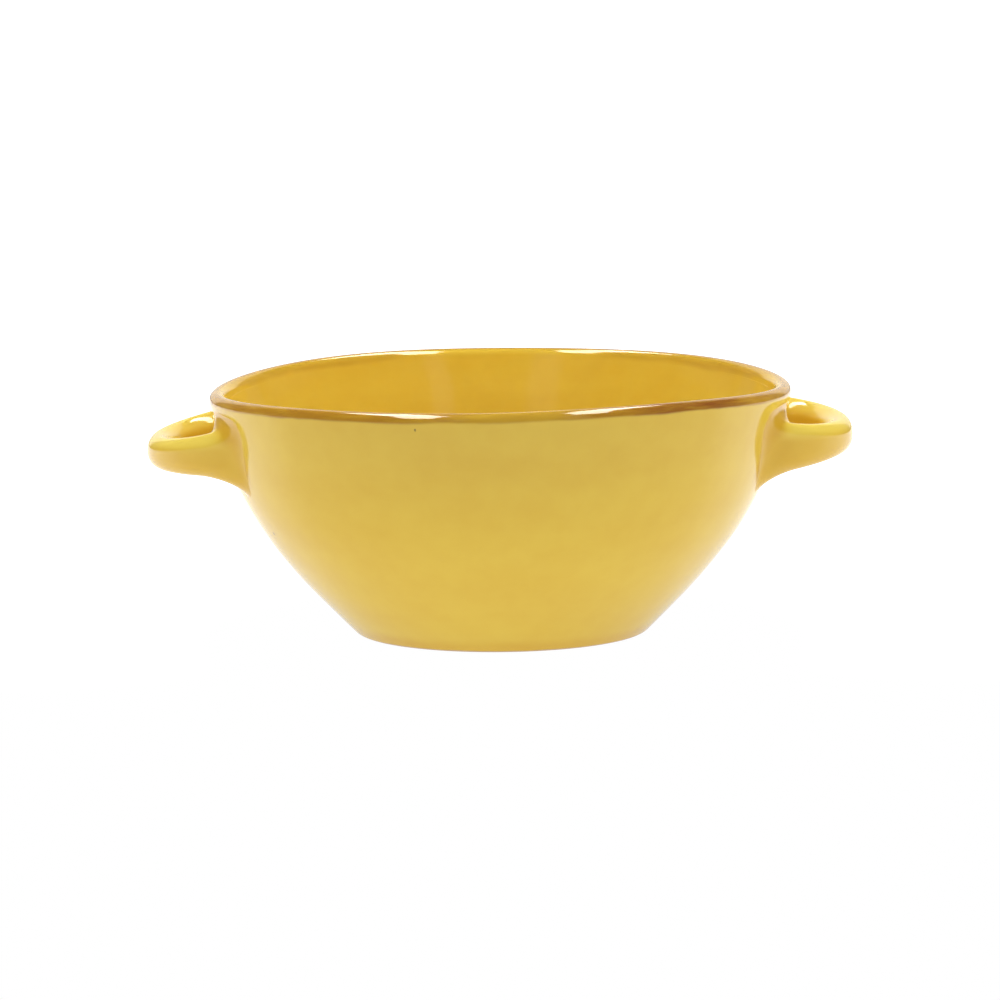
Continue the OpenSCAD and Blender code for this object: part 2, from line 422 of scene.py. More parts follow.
def strapAt(turn, k, lug):
    # the bow is half a squared ellipse, across = cos^b and forth = sin^b of turn; the section at k is
    # (half thickness) cos out from the bow's line, and up by (half thickness) sin + (the rest of the height) sin^p,
    # with its top half tilted by topTilt across
    b = lugShape["bowPower"]
    c, s = np.cos(turn), np.clip(np.sin(turn), 0, 1)
    middleReach = lug["reach"] - lugShape["thick"] / 2
    across, forth = power(c, b), s**b
    along = np.stack([lugShape["spread"] * s ** (2 - b), middleReach * power(c, 2 - b)], -1)
    along = along / np.linalg.norm(along, axis=-1, keepdims=True)
    near = (1 - forth) ** lugShape["flare"]
    halfT = (lugShape["thick"] + lugShape["swell"] * near) / 2
    halfH = mix(lug["tipH"], lug["rootH"], near) / 2
    middleZ = mix(lug["rootZ"], lug["tipZ"], forth)
    inward = lug["innerSwell"] * forth**3 * smooth(-np.cos(k), 0, 1)
    side = halfT * np.cos(k) - inward
    up = (halfT * np.sin(k) + (halfH - halfT) * power(np.sin(k), lugShape["straight"])) / halfH
    lean = near * (lug["splay"] / 2 * up - lug["drawIn"])
    y = -lugShape["spread"] * across - side * along[..., 1] - np.sign(c) * lean
    tilted = lug["topTilt"] * side * across * smooth(np.sin(k), 0, 1)
    z = middleZ + halfH * up - tilted + lug["roll"] * y / (2 * lugShape["spread"])
    out = middleReach * forth + side * along[..., 0]
    upright = forth * forth
    return np.stack([mix(onWall(y, z), onWall(y, middleZ), upright) + out, y, z], -1)


def roundSection(values, k):
    # the smoothest wave through equal steps round the section: values times (1 + 2cos + 2cos2 + 2cos3 + cos4) / 8
    total = 0 * k
    for i, value in enumerate(values):
        x = k - 2 * math.pi * i / len(values)
        total = total + value * (1 + 2 * np.cos(x) + 2 * np.cos(2 * x) + 2 * np.cos(3 * x) + np.cos(4 * x)) / 8
    return total


def slipRings(k, lug, end, count):
    # cubic from the strap to the wall, tangent to both; end is 0 for the front root and pi for the back one
    reach = roundSection(lug["slipOnWall"], k)
    if end:
        reach = reach * mix(1, lugShape["backTop"], smooth(np.sin(k), 0, 1))
    hollow = roundSection(lug["slipHollow"], k)[..., None]
    middleReach = lug["reach"] - lugShape["thick"] / 2
    clear = np.arcsin((roundSection(lug["slipOnStrap"], k) / middleReach) ** (1 / lugShape["bowPower"]))
    sign = math.cos(end)
    top = strapAt(end + sign * clear, k, lug)
    before = strapAt(end + sign * clear * slip["strapStep"], k, lug)
    corner = strapAt(end + 0 * k, k, lug)
    footY = corner[..., 1] - sign * reach * np.cos(k)
    # no higher than slipTop: the smaller of the two heights, rounded as -w log(exp(-z/w) + exp(-top/w))
    footZ = corner[..., 2] + reach * np.sin(k)
    width = slip["capSoftness"]
    footZ = -width * np.logaddexp(-footZ / width, -lug["slipTop"] / width)
    footOut = placed(footY, footZ, slip["edgeDepth"])
    nearY, nearZ = mix(footY, corner[..., 1], slip["wallStep"]), mix(footZ, corner[..., 2], slip["wallStep"])
    nearFoot = placed(nearY, nearZ, slip["edgeDepth"] / 2)
    down = (before - top) / np.linalg.norm(before - top, axis=-1, keepdims=True)
    back = (nearFoot - footOut) / np.linalg.norm(nearFoot - footOut, axis=-1, keepdims=True)
    downLength = hollow * np.linalg.norm(corner - top, axis=-1, keepdims=True)
    backLength = hollow * np.linalg.norm(corner - footOut, axis=-1, keepdims=True)
    t = np.linspace(0, 1, count)[:, None, None]
    u = 1 - t
    fillet = (
        u**3 * top
        + 3 * u**2 * t * (top + down * downLength)
        + 3 * u * t**2 * (footOut + back * backLength)
        + t**3 * footOut
    )
    sunkY, sunkZ = mix(footY, corner[..., 1], slip["sunkShare"]), mix(footZ, corner[..., 2], slip["sunkShare"])
    sunk = placed(sunkY, sunkZ, slip["sunkDepth"])
    middle = corner.mean(0)
    deepY, deepZ = mix(middle[1], corner[..., 1], slip["deepShare"]), mix(middle[2], corner[..., 2], slip["deepShare"])
    deep = placed(deepY, deepZ, slip["deepDepth"])
    pole = placed(middle[1], middle[2], slip["poleDepth"])
    return np.concatenate([fillet, sunk[None], deep[None]]), clear, pole


# how many points go round a strap, how many rings its slip and its bow have, and the lip distance it is given
lugSides = 72
slipCount = 16
bowCount = 110
farFromLip = 0.02

# glaze on a lug: from which share of the slip's width, counted from the wall, its painted shade in the hollow fades,
# how deep the painted shade is under the slip and on the strap's sides, and the sines round the section between which
# top and thin (thinner glaze and a painted highlight) grow
lugTone = dict(
    poolFrom=0.35,
    topFrom=(-0.2, 0.9),
    poolUnder=0.5,
    poolSides=0.42,
    thinAndSheenFrom=(0.15, 0.9),
    thinClear=1.6,
)


def makeLug(name, lug, mirrored):
    # rings of the front slip from inside the wall, of the strap's bow, and of the back slip into the wall
    k = np.linspace(0, 2 * math.pi, lugSides, endpoint=False)
    front, frontClear, frontPole = slipRings(k, lug, 0.0, slipCount)
    back, backClear, backPole = slipRings(k, lug, math.pi, slipCount)
    share = np.linspace(0, 1, bowCount)[1:-1, None]
    turn = mix(frontClear[None], math.pi - backClear[None], share)
    bow = strapAt(turn, k[None] + 0 * turn, lug)
    rings = np.concatenate([front[::-1], bow, back])
    poles = np.stack([frontPole, backPole])
    turned = np.array([-1, 1, 1]) if mirrored else np.array([1, 1, 1])
    piece = makeMesh(name, rings * turned, poles=poles * turned)
    # painted shade in the slip's hollow, most on top, and a little on the strap's sides and underside; on the strap's
    # top the glaze is thin and paler, partly a painted highlight
    fillet = np.concatenate([np.ones(2), 1 - smooth(np.linspace(0, 1, slipCount), lugTone["poolFrom"], 1)])
    hollow = np.concatenate([fillet, np.zeros(len(bow)), fillet[::-1]])[:, None]
    topShare = smooth(np.sin(k), *lugTone["topFrom"])[None]
    pool = np.maximum(hollow * mix(lugTone["poolUnder"], 1, topShare), lugTone["poolSides"] * (1 - topShare))
    thin = smooth(np.sin(k), *lugTone["thinAndSheenFrom"])[None] * (1 - np.clip(hollow * lugTone["thinClear"], 0, 1))
    setValues(piece, "pool", np.append(pool.ravel(), [0, 0]))
    setValues(piece, "thin", np.append(thin.ravel(), [0, 0]))
    setValues(piece, "lipDistance", np.full(len(piece.data.vertices), farFromLip))
    return piece


# how far past a root the painted shade reaches on the wall, and the shares of that between which it fades
rootTone = dict(across=0.0075, above=0.0062, below=0.0036, fade=(0.62, 1.05))


def rootPool(points):
    # 1 beside a root, fading over its own reach above, beside and below
    total = np.zeros(points.shape[:-1])
    for lug, side in ((leftLug, -1), (rightLug, 1)):
        for across in (-1, 1):
            dy = (points[..., 1] * across - lugShape["spread"] + lug["drawIn"]) / rootTone["across"]
            dz = points[..., 2] - lug["rootZ"]
            dz = dz / (lug["rootH"] / 2 + np.where(dz > 0, rootTone["above"], rootTone["below"]))
            near = 1 - smooth(np.sqrt(dy * dy + dz * dz), *rootTone["fade"])
            total = np.maximum(total, np.where(points[..., 0] * side > 0, near, 0))
    return total


# how many points go round the bowl, how many rings each stretch of it has, where the extra ring beside the
# band's border lies between its neighbours, and the lip distance that foot and floor are given
around = 360
counts = dict(outer=92, bed=14, inner=60, bend=36, floor=6, band=61)
crowding = dict(outer=0.8, inner=0.2, band=0.3)
footFromLip = 0.06


def makeBody():
    # rings from the middle of the foot up the outside, over the lip's bed and down to the middle of the floor
    a = np.linspace(0, 2 * math.pi, around, endpoint=False)[None]
    edge = foot["rounding"] / footRun
    footPart = np.repeat(footSection()[:, None], around, 1)
    end = lipPlace(a)
    outerEnd = end - lip["bandOut"] / lipRun
    share = np.linspace(0, 1, counts["outer"])[1:-1, None]
    outerPlaces = mix(edge, outerEnd, share)
    # rings crowd up to the band's edge
    outerPlaces = np.concatenate([outerPlaces, mix(outerPlaces[-1:], outerEnd, crowding["outer"]), outerEnd])
    outer = wallAt(outerPlaces)
    outer[..., 0] += outerWave(a, outer[..., 1])
    outerDistance = quarterRound + (end - outerPlaces) * lipRun
    bed = np.linspace(bandStart, bandEnd, counts["bed"])[1:-1, None] + 0 * a
    lipPart = lipSection(a, bed, bedDepth(bed))
    innerStart = end - lip["bandIn"] / lipRun
    bendPlace = np.interp(
        bowl["floorHeight"] + bowl["insideRound"],
        underWall(places, bowl["wall"] + bowl["insideRound"])[:, 1],
        places,
    )
    innerPlaces = mix(innerStart, bendPlace, np.linspace(0, 1, counts["inner"])[:, None])
    extraPlace = mix(innerPlaces[:1], innerPlaces[1:2], crowding["inner"])
    innerPlaces = np.concatenate([innerPlaces[:1], extraPlace, innerPlaces[1:]])
    # the inner wall thickens a little below the lip, so that it leans out more there
    below = (end - innerPlaces) * lipRun
    extra = smooth(below, *bowl["thickFrom"]) * (1 - smooth(below, *bowl["thickTo"]))
    inner = underWall(innerPlaces, bowl["wall"] + bowl["thicker"] * extra)
    innerDistance = -quarterRound - (end - innerPlaces) * lipRun
    bendMiddle = underWall(bendPlace, bowl["wall"] + bowl["insideRound"])
    out = wallOut(bendPlace)
    start = math.atan2(out[1], out[0])
    angle = np.linspace(start, -math.pi / 2, counts["bend"])[1:]
    arc = bendMiddle + bowl["insideRound"] * np.stack([np.cos(angle), np.sin(angle)], -1)
    flat = np.linspace(bendMiddle[0], foot["innermost"], counts["floor"])[1:]
    floor = np.stack([flat, flat * 0 + bowl["floorHeight"]], -1)
    lower = np.repeat(np.concatenate([arc, floor])[:, None], around, 1)
    inside = np.concatenate([inner, lower])
    inside[..., 0] -= innerWave(a, inside[..., 1])
    section = np.concatenate([footPart, outer, lipPart, inside])
    rings = swung(section, np.repeat(a, len(section), 0))
    piece = makeMesh("bowlBody", rings, poles=np.array([[0, 0, foot["hollow"]], [0, 0, bowl["floorHeight"]]]))
    footDistance = footPart[..., 0] * 0 + footFromLip
    floorDistance = lower[..., 0] * 0 - footFromLip
    distance = np.concatenate([footDistance, outerDistance, bed, innerDistance, floorDistance])
    setValues(piece, "lipDistance", np.append(distance.ravel(), [footFromLip, -footFromLip]))
    outside = np.arange(len(section)) < len(footPart) + len(outer)
    # painted shade on the wall round the lug roots, where strap and wall meet
    setValues(piece, "pool", np.append((rootPool(rings) * outside[:, None]).ravel(), [0, 0]))
    setValues(piece, "thin", np.zeros(len(piece.data.vertices)))
    borders = [len(footPart) + len(outer) - 1, len(footPart) + len(outer) + len(lipPart)]
    markSharp(piece, borders, around)
    return piece


def makeBand():
    # rings over the crest at no depth, then back under them along the bed, joined to the first
    a = np.linspace(0, 2 * math.pi, around, endpoint=False)[None]
    d = np.linspace(bandStart, bandEnd, counts["band"])
    second, lastButOne = mix(d[:1], d[1:2], crowding["band"]), mix(d[-1:], d[-2:-1], crowding["band"])
    d = np.concatenate([d[:1], second, d[1:-1], lastButOne, d[-1:]])[:, None] + 0 * a
    bed = np.linspace(bandEnd, bandStart, counts["bed"])[1:-1, None] + 0 * a
    section = np.concatenate([lipSection(a, d, 0 * d), lipSection(a, bed, bedDepth(bed))])
    rings = swung(section, np.repeat(a, len(section), 0))
    piece = makeMesh("lipBand", rings, closedAlong=True)
    setValues(piece, "lipDistance", np.concatenate([d, bed]))
    setValues(piece, "pool", np.zeros(len(piece.data.vertices)))
    setValues(piece, "thin", np.zeros(len(piece.data.vertices)))
    markSharp(piece, [0, len(d) - 1], around)
    return piece


bowlBody = makeBody()
lipBand = makeBand()
leftPiece = makeLug("leftLug", leftLug, True)
rightPiece = makeLug("rightLug", rightLug, False)
print("pieces shaped")


# Node helpers
def addNode(tree, kind, **settings):
    made = tree.nodes.new(kind)
    for name, value in settings.items():
        setattr(made, name, value)
    return made


def feed(tree, value, socket):
    if isinstance(value, bpy.types.NodeSocket):
        tree.links.new(value, socket)
    else:
        socket.default_value = value


def calc(tree, operation, a, b=0.0, c=0.0):
    # one sum on numbers or sockets; MULTIPLY_ADD is a b + c
    made = addNode(tree, "ShaderNodeMath", operation=operation)
    for value, socket in zip((a, b, c), made.inputs):
        feed(tree, value, socket)
    return made.outputs[0]


def between(tree, value, low, high, fromTo=(0.0, 1.0)):
    # from the first of fromTo at low to the second at high, smoothly, and level outside them
    made = addNode(tree, "ShaderNodeMapRange", interpolation_type="SMOOTHSTEP")
    for name, number in (("Value", value), ("From Min", low), ("From Max", high)):
        feed(tree, number, made.inputs[name])
    made.inputs["To Min"].default_value, made.inputs["To Max"].default_value = fromTo
    return made.outputs["Result"]


def blend(tree, share, first, second):
    made = addNode(tree, "ShaderNodeMix", data_type="RGBA")
    feed(tree, share, made.inputs["Factor"])
    feed(tree, first, made.inputs[6])
    feed(tree, second, made.inputs[7])
    return made.outputs[2]


def noise(tree, vector, scale, detail=2.0):
    made = addNode(tree, "ShaderNodeTexNoise")
    tree.links.new(vector, made.inputs["Vector"])
    made.inputs["Scale"].default_value = scale
    made.inputs["Detail"].default_value = detail
    return made.outputs["Fac"]


def stretched(tree, vector, scale):
    made = addNode(tree, "ShaderNodeVectorMath", operation="MULTIPLY")
    tree.links.new(vector, made.inputs[0])
    made.inputs[1].default_value = scale
    return made.outputs[0]


def apart(tree, vector):
    # x, y and z of a vector
    made = addNode(tree, "ShaderNodeSeparateXYZ")
    tree.links.new(vector, made.inputs[0])
    return made.outputs


def objectPlace(tree):
    return addNode(tree, "ShaderNodeTexCoord").outputs["Object"]


def rayIs(tree, kind):
    return addNode(tree, "ShaderNodeLightPath").outputs["Is " + kind + " Ray"]


def distanceFrom(tree, vector, place):
    made = addNode(tree, "ShaderNodeVectorMath", operation="DISTANCE")
    tree.links.new(vector, made.inputs[0])
    made.inputs[1].default_value = place
    return made.outputs["Value"]


def startGroup(name, inputs, outputs):
    group = bpy.data.node_groups.new(name, "ShaderNodeTree")
    for label, kind, value in inputs:
        socket = group.interface.new_socket(name=label, in_out="INPUT", socket_type="NodeSocket" + kind)
        if value is not None:
            socket.default_value = value
    for label, kind in outputs:
        group.interface.new_socket(name=label, in_out="OUTPUT", socket_type="NodeSocket" + kind)
    return group, addNode(group, "NodeGroupInput").outputs, addNode(group, "NodeGroupOutput").inputs


def useGroup(tree, group, **values):
    made = addNode(tree, "ShaderNodeGroup", node_tree=group)
    for name, value in values.items():
        feed(tree, value, made.inputs[name])
    return made.outputs


# Colours of the glaze, and of the clay and the pits that show in it
glaze = dict(
    usual=(0.80, 0.55, 0.058, 1),
    # deep also colours the painted shade, and pale the thin glaze and painted highlight on the lugs' tops
    deep=(0.70, 0.40, 0.025, 1),
    pale=(0.90, 0.68, 0.11, 1),
    golden=(0.50, 0.25, 0.022, 1),
    russet=(0.30, 0.10, 0.02, 1),
    clay=(0.62, 0.42, 0.25, 1),
    pit=(0.20, 0.11, 0.02, 1),
)

# Yellow glaze: broad patches squashed to lie level and a fine mottle, each with the range of its noise that
# counts and the depth of tone that it adds to the ground
yellow = dict(
    ground=0.05,
    patchScale=34,
    patchSquash=2.6,
    patchRange=(0.30, 0.72),
    patchDepth=0.2,
    mottleScale=210,
    mottleRange=(0.3, 0.7),
    mottleDepth=0.12,
)


def makeToneGroup():
    # deeper where shade is painted, and paler where the glaze thins and a highlight is painted
    group, given, made = startGroup(
        "glazeTone",
        [("Place", "Vector", None), ("Pool", "Float", 0.0), ("Thin", "Float", 0.0)],
        [("Colour", "Color")],
    )
    patches = noise(group, stretched(group, given["Place"], (1, 1, yellow["patchSquash"])), yellow["patchScale"], 3)
    patches = between(group, patches, *yellow["patchRange"])
    mottle = between(group, noise(group, given["Place"], yellow["mottleScale"], 3), *yellow["mottleRange"])
    depth = calc(group, "MULTIPLY_ADD", patches, yellow["patchDepth"], yellow["ground"])
    depth = calc(group, "MULTIPLY_ADD", mottle, yellow["mottleDepth"], depth)
    depth = calc(group, "ADD", depth, given["Pool"])
    colour = blend(group, calc(group, "MINIMUM", depth, 1.0), glaze["usual"], glaze["deep"])
    colour = blend(group, given["Thin"], colour, glaze["pale"])
    feed(group, colour, made["Colour"])
    return group


# Brown band, with its edges as distances from the lip's crest, outside positive. A pair says where a change
# begins and ends, and the number of the same name says what it comes to
brown = dict(
    streakScale=85,
    streakSquash=9.0,
    outerEdge=(0.0026, 0.0033),
    outerScale=60,
    outerSquash=0.2,
    outerWander=0.0007,
    innerEdge=-0.0032,
    innerScale=50,
    innerWander=0.0036,
    innerSoft=0.0010,
    lower=-0.0024,
    lowerBeside=(0.012, 0.038),
    lowerBehind=(0.0, 0.03),
    worn=0.45,
    wornRange=(-0.0016, -0.0002),
    broken=0.72,
    brokenRange=(0.25, 0.55),
    thin=0.6,
    thinPlace=(0.004, -0.069, 0.060),
    thinRange=(0.006, 0.022),
    red=0.75,
    redPlace=(0.044, -0.053, 0.060),
    redRange=(0.006, 0.024),
    streakRed=0.35,
    streakRedRange=(0.45, 0.8),
    crest=0.9,
    crestRange=(0.0006, 0.0018),
    crestBehind=(0.01, 0.05),
    reliefScale=60,
    relief=0.00003,
)


def makeBrownGroup():
    # brown brushed along the lip: streaks follow the rim, the edges wander, and the inside is worn to patches
    group, given, made = startGroup(
        "lipBrown",
        [("Place", "Vector", None), ("Lip Distance", "Float", 0.02)],
        [("Colour", "Color"), ("Mask", "Float"), ("Height", "Float")],
    )
    place, lipDistance = given["Place"], given["Lip Distance"]
    x, y = apart(group, place)[:2]
    join = addNode(group, "ShaderNodeCombineXYZ")
    for value, socket in zip((x, y, calc(group, "MULTIPLY", lipDistance, brown["streakSquash"])), join.inputs):
        feed(group, value, socket)
    streaks = noise(group, join.outputs[0], brown["streakScale"], 4)
    wander = noise(group, stretched(group, place, (1, 1, brown["outerSquash"])), brown["outerScale"], 3)
    wander = calc(group, "MULTIPLY_ADD", wander, 2 * brown["outerWander"], -brown["outerWander"])
    outerMask = between(group, calc(group, "ADD", lipDistance, wander), *brown["outerEdge"], (1.0, 0.0))
    wander = noise(group, place, brown["innerScale"], 2)
    innerEdge = calc(group, "MULTIPLY_ADD", wander, brown["innerWander"], brown["innerEdge"])
    # it reaches further down the inside at the back, on both sides
    lower = between(group, calc(group, "ABSOLUTE", x), *brown["lowerBeside"], (0.0, brown["lower"]))
    innerEdge = calc(group, "MULTIPLY_ADD", lower, between(group, y, *brown["lowerBehind"]), innerEdge)
    inner = calc(group, "SUBTRACT", lipDistance, innerEdge)
    innerMask = between(group, inner, -brown["innerSoft"], brown["innerSoft"])
    worn = between(group, lipDistance, *brown["wornRange"], (brown["worn"], 1.0))
    mask = calc(group, "MULTIPLY", outerMask, calc(group, "MULTIPLY", innerMask, worn))
    mask = calc(group, "MULTIPLY", mask, between(group, streaks, *brown["brokenRange"], (brown["broken"], 1.0)))
    # thin at the middle of the front, and redder on the front towards the right
    away = distanceFrom(group, place, brown["thinPlace"])
    mask = calc(group, "MULTIPLY", mask, between(group, away, *brown["thinRange"], (brown["thin"], 1.0)))
    away = distanceFrom(group, place, brown["redPlace"])
    red = between(group, away, *brown["redRange"], (brown["red"], 0.0))
    red = calc(group, "MULTIPLY_ADD", between(group, streaks, *brown["streakRedRange"]), brown["streakRed"], red)
    # darker along the crest at the back
    crest = between(group, calc(group, "ABSOLUTE", lipDistance), *brown["crestRange"], (brown["crest"], 0.0))
    crest = calc(group, "MULTIPLY", crest, between(group, y, *brown["crestBehind"]))
    red = calc(group, "MINIMUM", calc(group, "ADD", crest, red), 1.0)
    feed(group, blend(group, red, glaze["golden"], glaze["russet"]), made["Colour"])
    feed(group, calc(group, "MAXIMUM", crest, mask), made["Mask"])
    relief = calc(group, "MULTIPLY", noise(group, join.outputs[0], brown["reliefScale"], 0), outerMask)
    feed(group, calc(group, "MULTIPLY", relief, brown["relief"]), made["Height"])
    return group


# Relief of the fired glaze: broad swells and a fine orange peel, with their heights in metres
ripple = dict(swellScale=70, swellSquash=1.7, swell=0.00007, peelScale=420, peel=0.000002)


def makeRippleGroup():
    # the swells' height, and as much of the peel's as Peel says
    group, given, made = startGroup(
        "glazeRipple", [("Place", "Vector", None), ("Peel", "Float", 1.0)], [("Height", "Float")]
    )
    swell = noise(group, stretched(group, given["Place"], (1, 1, ripple["swellSquash"])), ripple["swellScale"], 2)
    swell = calc(group, "MULTIPLY", swell, ripple["swell"])
    peel = calc(group, "MULTIPLY", noise(group, given["Place"], ripple["peelScale"], 1), ripple["peel"])
    feed(group, calc(group, "MULTIPLY_ADD", peel, given["Peel"], swell), made["Height"])
    return group


# Pits where a bubble burst, each as place and half its height, and the share of that where they are full
pits = dict(
    front=((-0.01944, -0.0670, 0.05714), 0.0006),
    left=((-0.0541, -0.0228, 0.0272), 0.0010),
)
pitFull = 0.4
pitShare = 0.8


def makePitGroup():
    # each is half as wide as it is tall: pitShare inside, fading to 0 at its edge
    group, given, made = startGroup("pits", [("Place", "Vector", None)], [("Mask", "Float")])
    total = 0.0
    narrow = stretched(group, given["Place"], (2, 2, 1))
    for (x, y, z), half in pits.values():
        away = distanceFrom(group, narrow, (2 * x, 2 * y, z))
        total = calc(group, "MAXIMUM", between(group, away, half * pitFull, half, (pitShare, 0.0)), total)
    feed(group, total, made["Mask"])
    return group


# Foot's glaze, as heights over the table: bare clay below the first pair, also inside the ring below the
# second, and a painted darker line just above the foot, standing in for the shaded table that it mirrors, that ends
# over the third
footLine = dict(
    wanderScale=130,
    wander=0.0003,
    clayTo=(0.00025, 0.00055),
    insideRing=0.0337,
    hollowTo=(0.0024, 0.003),
    poolTo=(0.0012, 0.0042),
    pool=0.55,
)


def makeFootGroup():
    # bare clay on the ring and in the hollow, and a painted darker line of shade just above it
    group, given, made = startGroup(
        "footGlaze",
        [("Place", "Vector", None), ("Lip Distance", "Float", 0.02)],
        [("Clay", "Float"), ("Pool", "Float")],
    )
    place = given["Place"]
    outside = calc(group, "GREATER_THAN", given["Lip Distance"], 0.0)
    wander = noise(group, place, footLine["wanderScale"], 2)
    wander = calc(group, "MULTIPLY_ADD", wander, 2 * footLine["wander"], -footLine["wander"])
    height = calc(group, "ADD", apart(group, place)[2], wander)
    fromAxis = distanceFrom(group, stretched(group, place, (1, 1, 0)), (0, 0, 0))
    under = calc(group, "LESS_THAN", fromAxis, footLine["insideRing"])
    hollow = calc(group, "MULTIPLY", under, between(group, height, *footLine["hollowTo"], (1.0, 0.0)))
    clay = calc(group, "MAXIMUM", between(group, height, *footLine["clayTo"], (1.0, 0.0)), hollow)
    feed(group, calc(group, "MULTIPLY", clay, outside), made["Clay"])
    low = between(group, height, *footLine["poolTo"], (footLine["pool"], 0.0))
    feed(group, calc(group, "MULTIPLY", low, outside), made["Pool"])
    return group


toneGroup = makeToneGroup()
brownGroup = makeBrownGroup()
rippleGroup = makeRippleGroup()
pitGroup = makePitGroup()
footGroup = makeFootGroup()


# Gloss of the glaze, how much rougher it is under the painted shade and on the bare clay, and its relief's strength
gloss = dict(roughness=0.07, pooled=0.1, clay=0.6, ior=1.5, bump=1.0)


def attributeOf(tree, name):
    return addNode(tree, "ShaderNodeAttribute", attribute_name=name).outputs["Fac"]


def makeGlaze(name, withFoot=False, peel=1.0):
    # yellow under brown, with the pits and the foot's bare clay on top where withFoot asks for them
    material = bpy.data.materials.new(name)
    material.use_nodes = True
    tree = material.node_tree
    shader = tree.nodes["Principled BSDF"]
    place = objectPlace(tree)
    distance = attributeOf(tree, "lipDistance")
    pool = attributeOf(tree, "pool")
    if withFoot:
        low = useGroup(tree, footGroup, **{"Place": place, "Lip Distance": distance})
        # the foot's painted shade adds to the painted shade from the attribute
        pool = calc(tree, "ADD", pool, low["Pool"])
    tone = useGroup(tree, toneGroup, Place=place, Pool=pool, Thin=attributeOf(tree, "thin"))
    brushed = useGroup(tree, brownGroup, **{"Place": place, "Lip Distance": distance})
    colour = blend(tree, brushed["Mask"], tone["Colour"], brushed["Colour"])
    pooled = calc(tree, "MINIMUM", pool, 1.0)
    roughness = calc(tree, "MULTIPLY_ADD", pooled, gloss["pooled"], gloss["roughness"])
    if withFoot:
        colour = blend(tree, useGroup(tree, pitGroup, Place=place)["Mask"], colour, glaze["pit"])
        colour = blend(tree, low["Clay"], colour, glaze["clay"])
        roughness = calc(tree, "MULTIPLY_ADD", low["Clay"], gloss["clay"], roughness)
    feed(tree, colour, shader.inputs["Base Color"])
    feed(tree, roughness, shader.inputs["Roughness"])
    shader.inputs["IOR"].default_value = gloss["ior"]
    bump = addNode(tree, "ShaderNodeBump")
    bump.inputs["Distance"].default_value = gloss["bump"]
    height = calc(tree, "ADD", useGroup(tree, rippleGroup, Place=place, Peel=peel)["Height"], brushed["Height"])
    feed(tree, height, bump.inputs["Height"])
    feed(tree, bump.outputs["Normal"], shader.inputs["Normal"])
    return material


yellowGlaze = makeGlaze("yellowGlaze", withFoot=True)
brownGlaze = makeGlaze("brownGlaze", peel=0.0)
lugGlaze = makeGlaze("lugGlaze")

for piece, material, slot, nodes in (
    (bowlBody, yellowGlaze, "yellow_glaze", ["bowl_body"]),
    (lipBand, brownGlaze, "brown_glaze", ["lip_band"]),
    (leftPiece, lugGlaze, "lug_glaze", ["left_lug", "left_lug_slip"]),
    (rightPiece, lugGlaze, "lug_glaze", ["right_lug", "right_lug_slip"]),
):
    piece.data.materials.append(material)
    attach(piece, "root")
    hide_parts(*nodes)
print("glazes made")


# Studio: a lit white table and backdrop, long soft lights overhead, and broad soft light all round.
# Each has its light, as it falls on the bowl, and its shine, as the glaze mirrors it
light = dict(
    floorNear=(0.94, 0.78),
    floorFront=(0.33, 1.0),
    floorBack=(1.5, 1.18),
    backdrop=(1.35, 1.05),
    overhead=(6.6, 0.0),
    strips=(0.0, 16.0),
    frontRight=(0.0, 0.5),
    frontLeft=(0.0, 0.45),
    cameraSide=(0.0, 0.0),
    fillHigh=(0.8, 0.0),
    fillLeft=(0.3, 0.0),
    fillRight=(1.1, 0.0),
    sideLeft=(0.2, 0.15),
    sideRight=(0.2, 0.15),
    room=(2.0, 0.0),
)


def lightAndShine(tree, amounts):
    # the shine where the glaze mirrors it, otherwise the light
    return calc(tree, "MULTIPLY_ADD", rayIs(tree, "Glossy"), amounts[1] - amounts[0], amounts[0])


def makeCard(name, centre, across, up, amounts, soft=0.0, colour=(1, 1, 1, 1), shading=None):
    # a card from centre - across - up to centre + across + up, fading over a soft share at its edges;
    # shading, if there is one, turns its plain strength into the one that it gets
    across, up = np.array(across, float), np.array(up, float)
    w, h = np.linalg.norm(across), np.linalg.norm(up)
    material = bpy.data.materials.new(name)
    material.use_nodes = True
    tree = material.node_tree
    tree.nodes.remove(tree.nodes["Principled BSDF"])
    strength = lightAndShine(tree, amounts)
    if soft:
        for half, output in zip((w, h), apart(tree, objectPlace(tree))):
            edge = between(tree, calc(tree, "ABSOLUTE", output), half * (1 - soft), half, (1.0, 0.0))
            strength = calc(tree, "MULTIPLY", edge, strength)
    if shading:
        strength = shading(tree, strength)
    glow = addNode(tree, "ShaderNodeEmission")
    feed(tree, colour, glow.inputs["Color"])
    feed(tree, strength, glow.inputs["Strength"])
    tree.links.new(glow.outputs[0], tree.nodes["Material Output"].inputs["Surface"])
    mesh = bpy.data.meshes.new(name)
    mesh.from_pydata([(-w, -h, 0), (w, -h, 0), (w, h, 0), (-w, h, 0)], [], [(0, 1, 2, 3)])
    mesh.materials.append(material)
    card = bpy.data.objects.new(name, mesh)
    scene.collection.objects.link(card)
    axes = np.eye(4)
    axes[:3, 0], axes[:3, 1], axes[:3, 3] = across / w, up / h, centre
    axes[:3, 2] = np.cross(axes[:3, 0], axes[:3, 1])
    card.matrix_world = Matrix(axes.tolist())
    card.visible_camera = False
    card.visible_glossy = amounts[1] > 0
    return card


# Floor: near is the distance from the bowl's axis over which the light round the foot gives way, behind where
# the front's light gives way to the back's, and contact where the floor darkens under the wall
floorShade = dict(
    reach=12,
    near=(0.04, 0.18),
    behind=(-0.25, 0.05),
    contact=(0.032, 0.065),
    darker=0.1,
    beside=(-0.04, 0.0),
    brighter=0.28,
)


